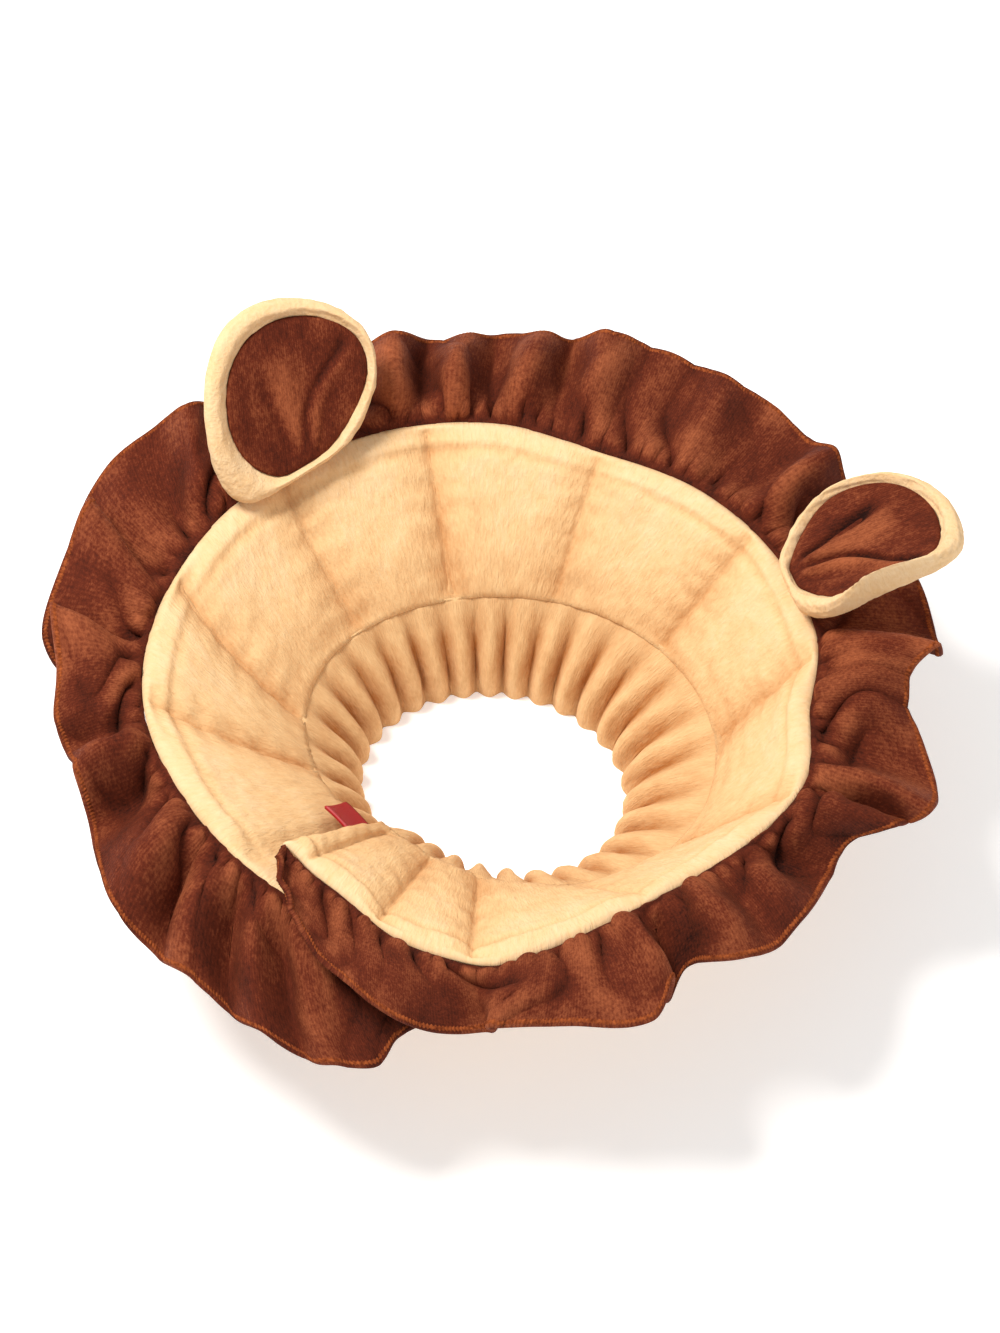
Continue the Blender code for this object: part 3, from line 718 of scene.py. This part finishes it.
def build_cone():
    columns, rows = 760, 40
    at = np.linspace(BAND_START, BAND_END, columns)[:, None]
    inner_shares = -NOSE_SHARE + (1 + NOSE_SHARE) * np.linspace(0, 1, rows)[None, :] ** 1.35
    outer_shares = inner_shares
    lean = table_value(SEAMS, 2, at)
    relief, painted_shading_in = cone_detail(at, inner_shares, True)
    thick = cone_half_thickness(at, inner_shares, True)
    inner = cone_point(at + lean * inner_shares, inner_shares, thick + relief)
    relief, painted_shading_out = cone_detail(at, outer_shares, False)
    thick = cone_half_thickness(at, outer_shares, False)
    outer = cone_point(at + lean * outer_shares, outer_shares, -thick - relief)
    inner_cloth = np.stack(np.broadcast_arrays(band_arc(at), inner_shares * 50, 0.0), -1)
    outer_cloth = np.stack(np.broadcast_arrays(band_arc(at), outer_shares * 50, 40.0), -1)
    top = cone_point(at, -NOSE_SHARE - 0.012, 0.0)
    low = cone_point(at + lean, 1.006, 0.0)
    zero = np.zeros((columns, 1))
    loops = np.concatenate((inner, low, outer[:, ::-1], top), 1)
    cloth = np.concatenate((inner_cloth, inner_cloth[:, -1:], outer_cloth[:, ::-1], inner_cloth[:, :1]), 1)
    painted_shading = np.concatenate((painted_shading_in, zero, painted_shading_out[:, ::-1], zero), 1)
    faces = join_loops(loops, False)
    middle = len(loops.reshape(-1, 3))
    points = placed(loops.reshape(-1, 3))
    around = loops.shape[1]
    extra, extra_faces = [], []
    for start, order in ((0, 1), ((columns - 1) * around, -1)):
        ring = points[start : start + around]
        ahead = ring.mean(0) - points[(start + around * 3 * order) : (start + around * 3 * order + around)].mean(0)
        ahead = ahead / np.linalg.norm(ahead) * 0.0012
        inset = ring * 0.55 + 0.45 * nearest_middle(ring, rows) + ahead
        base = middle + len(extra) * around
        extra.append(inset)
        i = np.arange(around)
        j = (i + 1) % around
        strip = np.stack((start + i, base + i, base + j, start + j), -1)
        extra_faces.append(strip[:, ::order])
        cap = close_loop(base, rows, around)
        extra_faces.append(cap[:, :: -order])
    points = np.concatenate([points] + extra)
    cloth = np.concatenate([cloth.reshape(-1, 3), cloth[0], cloth[-1]])
    painted_shading = np.concatenate([painted_shading.reshape(-1), painted_shading[0], painted_shading[-1]])
    faces = np.concatenate([faces] + extra_faces)
    return outward(make_mesh("plush_cone", points, faces, cloth, painted_shading)), at, inner_shares


def nearest_middle(ring, rows):
    """For each point of a wall section, the middle of the wall beside it."""
    around = len(ring)
    inner = ring[:rows]
    outer = ring[rows + 1 : around - 1][::-1]
    at_inner = np.linspace(0, 1, rows)
    at_outer = np.linspace(0, 1, len(outer))
    outer_like = np.stack([np.interp(at_inner, at_outer, outer[:, k]) for k in range(3)], -1)
    inner_like = np.stack([np.interp(at_outer, at_inner, inner[:, k]) for k in range(3)], -1)
    middle_in = (inner + outer_like) / 2
    middle_out = (outer + inner_like) / 2
    return np.concatenate((middle_in, ring[rows : rows + 1], middle_out[::-1], ring[-1:]))


def close_loop(base, rows, around):
    """Faces across a wall section from its inner to its outer side."""
    outer_count = around - rows - 2
    faces = []
    for i in range(rows - 1):
        j = round(i * (outer_count - 1) / (rows - 1))
        k = round((i + 1) * (outer_count - 1) / (rows - 1))
        a, b = base + i, base + i + 1
        c, d = base + around - 2 - k, base + around - 2 - j
        faces.append((a, b, c, d if d != c else c))
    return np.array(faces)


cone, cone_at, cone_shares = build_cone()
clean = cone.data
clean.validate()
finish_piece(cone, CREAM, "cone_wall")


# Cuff


def build_cuff():
    columns, rows = 1080, 30
    at = np.linspace(BAND_START, BAND_END, columns)[:, None]
    share = np.linspace(-0.04, 1, rows)[None, :]
    grid = cuff_point(at, share)
    normals = grid_normals(grid)
    if (normals[columns // 2, rows // 2] * grid[columns // 2, rows // 2])[:2].sum() > 0:
        normals = -normals
    run = share * 40
    small = 0.35 * noise(at / 2.1, run / 14, 21) + 0.16 * noise(at / 0.9, run / 6, 22)
    relief = small * smooth_step(share / 0.1) * smooth_step((1 - share) / 0.12)
    stitched = -0.35 * np.exp(-(((run - 36.5) / 0.7) ** 2))
    grid = grid + normals * ((relief + stitched) / 1000)[..., None]
    thick = CUFF_THICKNESS / 2
    flat = normals.copy()
    flat[:, -1, 2] = 0
    flat[:, -1] /= np.linalg.norm(flat[:, -1], axis=-1, keepdims=True)
    loops = np.concatenate((grid + flat * thick, (grid - flat * thick)[:, ::-1]), 1)
    cloth = np.stack(np.broadcast_arrays(band_arc(at) * 1.4, run, 80.0), -1)
    # Painted shade: the whole cuff is darkened, deepest in the pleat valleys of its inner face; its outer face gets a
    # weaker copy.
    wave = 0.5 + 0.5 * np.cos(np.radians(at * CUFF_PLEATS))
    painted_shading = 0.34 + (1 - wave) * 0.85 * np.sin(np.pi * np.clip(share, 0.05, 0.9))
    painted_shading = np.broadcast_to(painted_shading, (columns, rows))
    cloth = np.concatenate((cloth, cloth[:, ::-1]), 1)
    painted_shading = np.concatenate((painted_shading, painted_shading[:, ::-1] * 0.3), 1)
    return outward(make_mesh("gathered_cuff", placed(loops), join_loops(loops, True), cloth, painted_shading))


cuff = build_cuff()
finish_piece(cuff, CREAM, "neck_cuff")


# Ruffle


def ruffle_relief(at, share):
    """Gathers at the stitched root, long wrinkles that run out of them, and a slight ripple at the hem."""
    run = share * 44
    arc = band_arc(at)
    turn = arc / 16.0 + 0.8 * noise(arc / 24, run / 24, 31) + 0.5 * noise(arc / 31, 0.5, 37) * share
    lobes = 2.0 * np.abs(np.sin(np.pi * turn)) ** 0.8 - 1.2
    reach = 16 + 9 * noise(arc / 14, 3.3, 38)
    long_fold = 2.7 * lobes * smooth_step(share / 0.10) * (0.22 + 0.78 * np.exp(-((run / reach) ** 2)))
    gather = 2.0 * np.abs(np.sin(np.pi * (arc / 5.6 + 0.7 * noise(arc / 15, 1.7, 41)))) ** 0.8 - 1.0
    rooted = 1.1 * gather * np.exp(-((run / (7 + 4 * noise(arc / 9, 4.4, 33))) ** 2)) * smooth_step(share / 0.05)
    broad = 1.5 * noise(arc / 12, run / 34, 34) * smooth_step(share / 0.12) * (1 - 0.4 * share)
    small = 0.5 * noise(arc / 5.2, run / 15, 35) * smooth_step(share / 0.10)
    crumple = 0.14 * noise(arc / 1.9, run / 3.2, 36)
    return (rooted + long_fold + broad + small + crumple) / 1000


def ruffle_grid(columns, shares):
    at = np.linspace(BAND_START, BAND_END, columns)[:, None]
    share = np.asarray(shares)[None, :]
    grid = ruffle_point(at, share)
    normals = grid_normals(grid)
    if normals[columns // 3, len(shares) // 2, 2] < 0:
        normals = -normals
    grid = grid + normals * ruffle_relief(at, share)[..., None]
    normals = grid_normals(grid)
    if normals[columns // 3, len(shares) // 2, 2] < 0:
        normals = -normals
    return at, share, grid, normals


def build_ruffle():
    columns, rows = 1300, 34
    at, share, grid, normals = ruffle_grid(columns, np.linspace(-0.035, 1, rows))
    thick = RUFFLE_THICKNESS / 2 * 0.8
    tip = grid[:, -1:] * 2 - grid[:, -2:-1]
    tip = grid[:, -1:] + (tip - grid[:, -1:]) / np.linalg.norm(tip - grid[:, -1:], axis=-1, keepdims=True) * 0.0006
    loops = np.concatenate((grid + normals * thick, tip, (grid - normals * thick)[:, ::-1], grid[:, :1]), 1)
    cloth = np.stack(np.broadcast_arrays(band_arc(at) * 1.25, share * 44, 0.0), -1)
    cloth = np.concatenate((cloth, cloth[:, -1:], cloth[:, ::-1], cloth[:, :1]), 1)
    # Painted shade in the fold hollows, in the folds that dip and along the stitched root; on the under face the sign
    # turns, giving painted highlight there.
    hollow = -ruffle_relief(at, share) * 1000 / 2.6 - 0.35 * table_value(FOLDS, 3, at) * np.sin(np.pi * share / 2)
    painted_shading = np.clip(hollow + 0.6 * np.exp(-np.clip(share, 0, 1) * 14), -0.6, 1.2) * np.ones((columns, rows))
    painted_shading = np.concatenate((painted_shading, painted_shading[:, -1:], painted_shading[:, ::-1] * -1, painted_shading[:, :1]), 1)
    return outward(make_mesh("velour_ruffle", placed(loops), join_loops(loops, True), cloth, painted_shading))


def build_hem():
    """The overlock stitching: threads wrapped round the hem, close together."""
    columns, rows = 1300, 34
    at, share, grid, normals = ruffle_grid(columns, np.linspace(0, 1, rows))
    edge = grid[:, -1]
    inward = grid[:, -3] - grid[:, -1]
    inward = inward / np.linalg.norm(inward, axis=-1, keepdims=True)
    up = normals[:, -1]
    steps = np.concatenate(([0], np.cumsum(np.linalg.norm(np.diff(edge, axis=0), axis=1))))
    stitches = int(steps[-1] / 0.00115)
    per = 6
    count = stitches * per
    where = np.linspace(0, steps[-1], count)

    def along(values):
        return np.stack([np.interp(where, steps, values[:, k]) for k in range(3)], -1)

    centre, side, rise = along(edge), along(inward), along(up)
    phase = np.arange(count) / per
    swell = 0.5 + 0.5 * np.cos(2 * np.pi * phase)
    around = 10
    turn = 2 * np.pi * np.arange(around) / around
    depth = 0.0012 + 0.0002 * swell
    height = 0.00085 + 0.00026 * swell
    middle = centre + side * 0.0011
    ring = (
        middle[:, None]
        - side[:, None] * (np.cos(turn)[None, :] * depth[:, None])[..., None]
        + rise[:, None] * (np.sin(turn)[None, :] * height[:, None])[..., None]
    )
    cloth = np.stack(np.broadcast_arrays((phase * 1.15)[:, None], turn[None, :], 0.0), -1)
    faces = join_loops(ring, False)
    base = count * around
    points = np.concatenate((ring.reshape(-1, 3), ring[:1].mean(1), ring[-1:].mean(1)))
    i = np.arange(around)
    first = np.stack((i, (i + 1) % around, np.full(around, base)), -1)
    last = np.stack(((i + 1) % around, i, np.full(around, base + 1 - (count - 1) * around)), -1) + (count - 1) * around
    faces = faces.tolist() + first.tolist() + last.tolist()
    cloth = np.concatenate((cloth.reshape(-1, 3), cloth[0, :1], cloth[-1, :1]))
    mesh = bpy.data.meshes.new("hem_stitching")
    mesh.from_pydata(placed(points).tolist(), [], faces)
    data = mesh.attributes.new("cloth", "FLOAT_VECTOR", "POINT")
    data.data.foreach_set("vector", cloth.astype(np.float32).reshape(-1))
    mesh.shade_smooth()
    obj = bpy.data.objects.new("hem_stitching", mesh)
    bpy.context.scene.collection.objects.link(obj)
    return outward(obj)


ruffle = build_ruffle()
finish_piece(ruffle, BROWN, "ruffle")
hem = build_hem()
finish_piece(hem, THREAD)


# Ears


def spline_rows(rows, count):
    """A smooth run through a short table, evenly parted between its rows."""
    rows = np.array(rows, float)
    place = np.linspace(0, len(rows) - 1, count)
    i = np.clip(np.floor(place).astype(int), 0, len(rows) - 2)
    x = (place - i)[:, None]
    before, after = rows[np.maximum(i - 1, 0)], rows[np.minimum(i + 2, len(rows) - 1)]
    a, b = rows[i], rows[i + 1]
    ma, mb = (b - before) / 2 * 0.75, (after - a) / 2 * 0.75
    return a * (1 + 2 * x) * (1 - x) ** 2 + ma * x * (1 - x) ** 2 + b * x * x * (3 - 2 * x) + mb * x * x * (x - 1)


def ear_flat(margin, shrink, base_share, inset, points):
    centre = np.array((0.0, 0.5 * EAR_HEIGHT))
    inner = min(1.0, margin)
    pinched = base_share * (1 - PINCH * inner)
    outline = ear_outline(margin * LINING_SIDE_MARGIN, margin * LINING_BASE_MARGIN, pinched, points)
    aside = np.array((inset * inner * LINING_SIDE_MARGIN, 0.0))
    return centre + (outline - centre) * (1 - shrink) + aside


def ear_rings(rows, heights, row, points, relief=None):
    """Rings of an ear in its own frame, one for each (margin, shrink) with its height over the middle plane."""
    name, at, direction, rise, roll, cup_left, cup_right, base_share, skew, foot_out, inset = row
    loops = []
    for (margin, shrink), height in zip(rows, heights):
        flat = ear_flat(margin, shrink, base_share, inset, points)
        out = np.full(points, height)
        if relief is not None:
            out = out + relief(flat, margin, shrink)
        loops.append(bend_ear(flat, out, cup_left, cup_right, skew))
    return np.array(loops)


def build_ear(row):
    name, at, direction, rise, roll, cup_left, cup_right, base_share, skew, foot_out, inset = row
    half = EAR_THICKNESS / 2
    turn = ear_placing(at, direction, rise, roll)
    plain = np.array(EAR_RINGS)
    rough = ear_rings(plain[:, :2], plain[:, 2] * half, row, 26) @ turn.T
    box = [np.array(corner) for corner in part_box(name)]
    foot = (box[0] + box[1]) / 2 - (rough.reshape(-1, 3).min(0) + rough.reshape(-1, 3).max(0)) / 2
    points = 180
    dense = spline_rows(EAR_RINGS, 90)
    dense[:, 1] = np.clip(dense[:, 1], 0, 0.97)
    loops = ear_rings(dense[:, :2], dense[:, 2] * half, row, points)
    seed = 50 if name == "ear_left" else 60
    spots = loops.reshape(-1, 3) * 1000
    shape = loops.reshape(len(dense), points, 3)
    normals = np.cross(np.gradient(shape, axis=0), np.roll(shape, -1, 1) - np.roll(shape, 1, 1))
    normals /= np.maximum(np.linalg.norm(normals, axis=-1, keepdims=True), 1e-12)
    bump = 0.25 * noise(spots[:, 0] / 9, spots[:, 2] / 9 + spots[:, 1], seed)
    bump = bump + 0.20 * noise(spots[:, 0] / 1.8, spots[:, 2] / 1.8 + spots[:, 1], seed + 1)
    level = (dense[:, 2] > 0.15)[:, None] | (dense[:, 2] < -0.2)[:, None]
    shape = shape + normals * (bump.reshape(len(dense), points) * level / 1000)[..., None]
    cloth = shape * 1000
    faces = join_loops(shape, False).tolist()
    total = len(dense) * points
    faces.append(list(range(points - 1, -1, -1)))
    faces.append(list(range(total - points, total)))
    # Painted shade on the front face where it sits low around the lining, darker the lower it lies.
    low = (dense[:, 2] > -0.1) * (dense[:, 0] > 0.3)
    painted_shading = np.clip(0.5 - dense[:, 2], 0, 0.4)[:, None] * low[:, None] * np.ones((len(dense), points))
    world = shape.reshape(-1, 3) @ turn.T + foot
    mesh = bpy.data.meshes.new("plush_" + name)
    mesh.from_pydata(world.tolist(), [], faces)
    data = mesh.attributes.new("cloth", "FLOAT_VECTOR", "POINT")
    data.data.foreach_set("vector", cloth.astype(np.float32).reshape(-1))
    data = mesh.attributes.new("painted_shading", "FLOAT", "POINT")
    data.data.foreach_set("value", painted_shading.astype(np.float32).reshape(-1))
    mesh.shade_smooth()
    shell = bpy.data.objects.new("plush_" + name, mesh)
    bpy.context.scene.collection.objects.link(shell)
    outward(shell)
    finish_piece(shell, CREAM, name)
    lining = build_lining(row, turn, foot, seed)
    return shell, lining


def lining_relief(row, seed):
    """Soft creases that run up the lining from its sewn base."""
    name, inset = row[0], row[-1]
    strong = 1.25 if name == "ear_right" else 0.5

    def relief(flat, margin, shrink):
        across, up = flat[:, 0] * 1000, flat[:, 1] * 1000
        spread = np.arctan2(across - inset * LINING_SIDE_MARGIN * 1000, up + 10)
        reach = smooth_step((up - 3) / 8) * smooth_step((54 - up) / 14)
        bend = 0.30 * smooth_step((up - 16) / 26)
        fold = 1.3 * np.exp(-(((spread - 0.12) / 0.10) ** 2)) * smooth_step((44 - up) / 14)
        fold = fold - 2.0 * np.exp(-(((spread - 0.27) / 0.06) ** 2)) * smooth_step((40 - up) / 12)
        fold = fold - 1.9 * np.exp(-(((spread + 0.03 + bend) / 0.05) ** 2))
        fold = fold + 1.5 * np.exp(-(((spread + 0.15 + bend) / 0.09) ** 2))
        near_base = 0.7 * np.sin(spread * 26) * np.exp(-up / 9)
        inside = 1.0 - smooth_step((1.0 - shrink - 0.75) / 0.25) if shrink < 0.9 else 1.0
        total = strong * (fold * reach * inside + near_base * inside)
        return (total + 0.25 * noise(across / 7, up / 9, seed + 3)) / 1000

    return relief


def build_lining(row, turn, foot, seed):
    name = row[0]
    half = EAR_THICKNESS / 2
    back = EAR_RINGS[0][2] * half + 2.5 * GAP
    front = back + LINING_THICKNESS
    points, rings = 160, 34
    shrinks = np.linspace(0.97, 0.0, rings)
    edge = 0.74
    top_rows = [(edge, s) for s in shrinks]
    top_heights = front + 0.0012 * np.sqrt(np.maximum(0.0, 1 - (1 - shrinks) ** 6)) - 0.0006
    relief = lining_relief(row, seed)
    top = ear_rings(top_rows, top_heights, row, points, relief)
    side = ear_rings([(edge, 0.0), (1.0, 0.0)], [front - 0.0012, back], row, points)
    under = ear_rings([(1.1, s) for s in (0.5, 0.95)], [back, back], row, points)
    shape = np.concatenate((top, side, under))
    faces = join_loops(shape, False).tolist()
    total = len(shape) * points
    faces.append(list(range(points - 1, -1, -1)))
    faces.append(list(range(total - points, total)))
    world = shape.reshape(-1, 3) @ turn.T + foot
    cloth = shape.reshape(-1, 3)[:, (0, 2, 1)] * 1000
    flats = [ear_flat(margin, shrink, row[7], row[10], points) for margin, shrink in top_rows]
    # Painted shade in the lining's creases and painted highlight on its ridges, taken from the crease relief.
    painted_shading = np.zeros(shape.shape[:2])
    for i, (margin, shrink) in enumerate(top_rows):
        painted_shading[i] = np.clip(-relief(flats[i], margin, shrink) * 1000 / 1.5, -0.7, 1.3)
    mesh = bpy.data.meshes.new("velour_" + name)
    mesh.from_pydata(world.tolist(), [], faces)
    data = mesh.attributes.new("cloth", "FLOAT_VECTOR", "POINT")
    data.data.foreach_set("vector", cloth.astype(np.float32).reshape(-1))
    data = mesh.attributes.new("painted_shading", "FLOAT", "POINT")
    data.data.foreach_set("value", painted_shading.astype(np.float32).reshape(-1))
    mesh.shade_smooth()
    obj = bpy.data.objects.new("velour_" + name, mesh)
    bpy.context.scene.collection.objects.link(obj)
    outward(obj)
    finish_piece(obj, BROWN, name + "_lining")
    return obj


for ear_row in EARS:
    ear, ear_lining = build_ear(ear_row)


# Tab and fastening


def build_label():
    """A folded woven tab: two layers with a rounded fold at the far end."""
    share = 0.76
    at = np.array(BAND_START)
    onward = cone_point(BAND_START - 1.0, share, 0.0) - cone_point(BAND_START, share, 0.0)
    onward = onward / np.linalg.norm(onward)
    down, out, length = cone_directions(at)
    side = LABEL_WIDTH / 2 / float(length)
    origin = cone_point(BAND_START, share, 0.0)
    through = cone_point(BAND_START, share, 1.0) - origin
    through = through / np.linalg.norm(through)
    across = cone_point(BAND_START, share + side, 0.0) - cone_point(BAND_START, share - side, 0.0)
    rows, columns = 26, 16
    profile = []
    for i in range(rows):
        x = i / (rows - 1)
        run = GAP + (LABEL_LENGTH - 0.0007) * min(1.0, x / 0.86)
        bend = 0.0012 * math.sin(math.pi * min(1.0, x / 0.9) / 2)
        half = LABEL_THICKNESS / 2
        turn = max(0.0, (x - 0.86) / 0.14) * math.pi / 2
        profile.append((run + 0.0007 * math.sin(turn), bend, half * math.cos(turn) + 0.00004))
    upper = [(run, bend + half) for run, bend, half in profile]
    lower = [(run, bend - half) for run, bend, half in profile][::-1]
    outline = upper + lower
    spread = np.linspace(-0.5, 0.5, columns)
    loops = []
    for s in spread:
        curl = 0.0005 * (2 * s) ** 2
        loops.append([origin + onward * run + through * (rise + curl) + across * s for run, rise in outline])
    loops = np.array(loops)
    cloth = np.stack(np.broadcast_arrays(spread[:, None] * 10, np.arange(len(outline))[None, :] * 0.6, 0.0), -1)
    return outward(make_mesh("red_tab", placed(loops), join_loops(loops, True), cloth))


label = build_label()
finish_piece(label, RED, "side_label")

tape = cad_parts["fastening_tape"]
tape.data.materials.clear()
tape.data.materials.append(TAPE)


# Floor, light and camera


def build_floor():
    mesh = bpy.data.meshes.new("floor")
    size = 6.0
    mesh.from_pydata([(-size, -size, 0), (size, -size, 0), (size, size, 0), (-size, size, 0)], [], [(0, 1, 2, 3)])
    floor = bpy.data.objects.new("floor", mesh)
    bpy.context.scene.collection.objects.link(floor)
    material, nodes, links, shader = new_material("floor")
    shader.inputs["Base Color"].default_value = (0.9, 0.9, 0.9, 1)
    shader.inputs["Roughness"].default_value = 0.9
    shader.inputs["Emission Color"].default_value = (1, 1, 1, 1)
    shader.inputs["Emission Strength"].default_value = 0.32
    mesh.materials.append(material)


def add_area_light(name, place, target, size, power, colour):
    light = bpy.data.lights.new(name, "AREA")
    light.shape = "DISK"
    light.size = size
    light.energy = power
    light.color = colour
    obj = bpy.data.objects.new(name, light)
    obj.location = place
    obj.rotation_euler = (Vector(target) - Vector(place)).to_track_quat("-Z", "Y").to_euler()
    bpy.context.scene.collection.objects.link(obj)


def build_camera(azimuth, elevation, distance, target):
    a, e = math.radians(azimuth), math.radians(elevation)
    back = Vector((math.sin(a) * math.cos(e), -math.cos(a) * math.cos(e), math.sin(e)))
    right = Vector((math.cos(a), math.sin(a), 0))
    up = back.cross(right)
    camera = bpy.data.cameras.new("camera")
    camera.sensor_width = 36
    camera.lens = 36 * distance / (1333 / 3200)
    aim = Vector(target) + right * (16 / 3200) + up * (19.5 / 3200)
    obj = bpy.data.objects.new("camera", camera)
    obj.location = aim + back * distance
    obj.rotation_euler = (-back).to_track_quat("-Z", "Y").to_euler()
    bpy.context.scene.collection.objects.link(obj)
    bpy.context.scene.camera = obj
    return back, right, up


bpy.context.scene.view_settings.view_transform = "Standard"
build_floor()
world = bpy.data.worlds.new("world")
bpy.context.scene.world = world
world.use_nodes = True
world.node_tree.nodes["Background"].inputs["Color"].default_value = (1, 1, 1, 1)
world.node_tree.nodes["Background"].inputs["Strength"].default_value = 0.55

rim_middle = (SHIFT[0], SHIFT[1], CUFF_HEIGHT + CONE_HEIGHT)
back, right, up = build_camera(20.0, 57.0, 1.3, rim_middle)
centre = Vector((0, 0, 0.06))
key = centre + back * 0.9 + up * 0.75 - right * 0.55
add_area_light("key", key, centre, 0.45, 19, (1.0, 0.97, 0.93))
fill = centre + back * 0.9 + right * 0.9 - up * 0.2
add_area_light("fill", fill, centre, 1.2, 3, (1.0, 0.98, 0.96))
